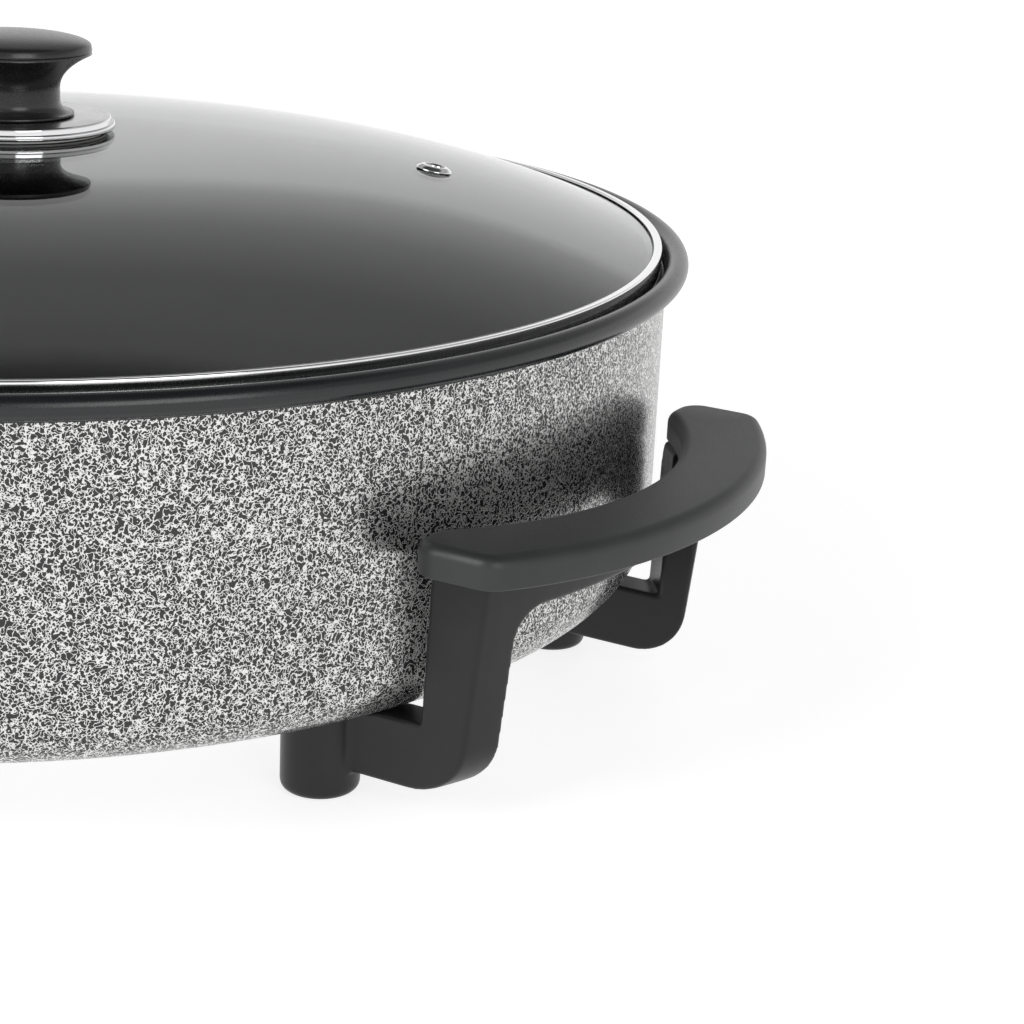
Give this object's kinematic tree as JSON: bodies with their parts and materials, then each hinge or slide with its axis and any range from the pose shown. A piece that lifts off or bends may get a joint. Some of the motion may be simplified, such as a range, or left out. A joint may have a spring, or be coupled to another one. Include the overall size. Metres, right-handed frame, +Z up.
{
  "type": "electric skillet",
  "caption": "Round electric skillet: deep coated pan on leg handles with a heater below and a domed glass lid that lifts off.",
  "frame": {"origin": "on the table plane, on the pan's axis", "axes": "+Z up along the pan's axis, +X towards the right handle, -X towards the handle with the inlet, +Y to the left when looking along +X"},
  "size_m": [0.4908, 0.42, 0.1825],
  "materials": {
    "pan_coating": "aluminium with a dark grey vein-patterned coat outside and a black non-stick coat inside",
    "heater_aluminium": "as cast",
    "tube_sheath": "dark oxidised sheath",
    "seal_ceramic": "unglazed",
    "pin_brass": "satin",
    "guard_plastic": "fine texture",
    "fastener_steel": "zinc plated",
    "spring_brass": "satin",
    "cover_sheet": "pressed sheet",
    "handle_plastic": "heat-proof, fine texture",
    "grip_plastic": "heat-proof, fine texture, satin",
    "lid_glass": "tempered, lightly smoked, glossy",
    "ring_steel": "polished stainless steel",
    "vent_steel": "polished stainless steel",
    "gasket_silicone": "translucent white silicone",
    "plate_chrome": "polished",
    "knob_plastic": "heat-proof, satin gloss",
    "insert_brass": "turned"
  },
  "bodies": {
    "base": {"pan": "pan_coating", "heater_plate": "heater_aluminium", "heating_tube": "tube_sheath", "tube_seals": "seal_ceramic", "inlet_pins": "pin_brass", "inlet_guard": "guard_plastic", "guard_studs": "fastener_steel", "guard_nuts": "fastener_steel", "earth_spring": "spring_brass", "heater_studs": "fastener_steel", "plate_nuts": "fastener_steel", "bottom_cover": "cover_sheet", "cover_nuts": "fastener_steel", "foot_bosses": "fastener_steel", "right_handle_frame": "handle_plastic", "right_grip": "grip_plastic", "right_grip_screws": "fastener_steel", "right_foot_screws": "fastener_steel", "left_handle_frame": "handle_plastic", "left_grip": "grip_plastic", "left_grip_screws": "fastener_steel", "left_foot_screws": "fastener_steel"},
    "lid": {"lid_glass": "lid_glass", "lid_ring": "ring_steel", "steam_vent": "vent_steel", "knob_gasket": "gasket_silicone", "knob_plate": "plate_chrome", "knob": "knob_plastic", "knob_insert": "insert_brass", "knob_screw": "fastener_steel", "lower_gasket": "gasket_silicone", "lower_washer": "fastener_steel"}
  },
  "joints": [
    {"name": "lid_lift", "type": "slide", "parent": "base", "child": "lid", "axis": [0, 0, 1], "range_m": [0, 0.25]}
  ]
}
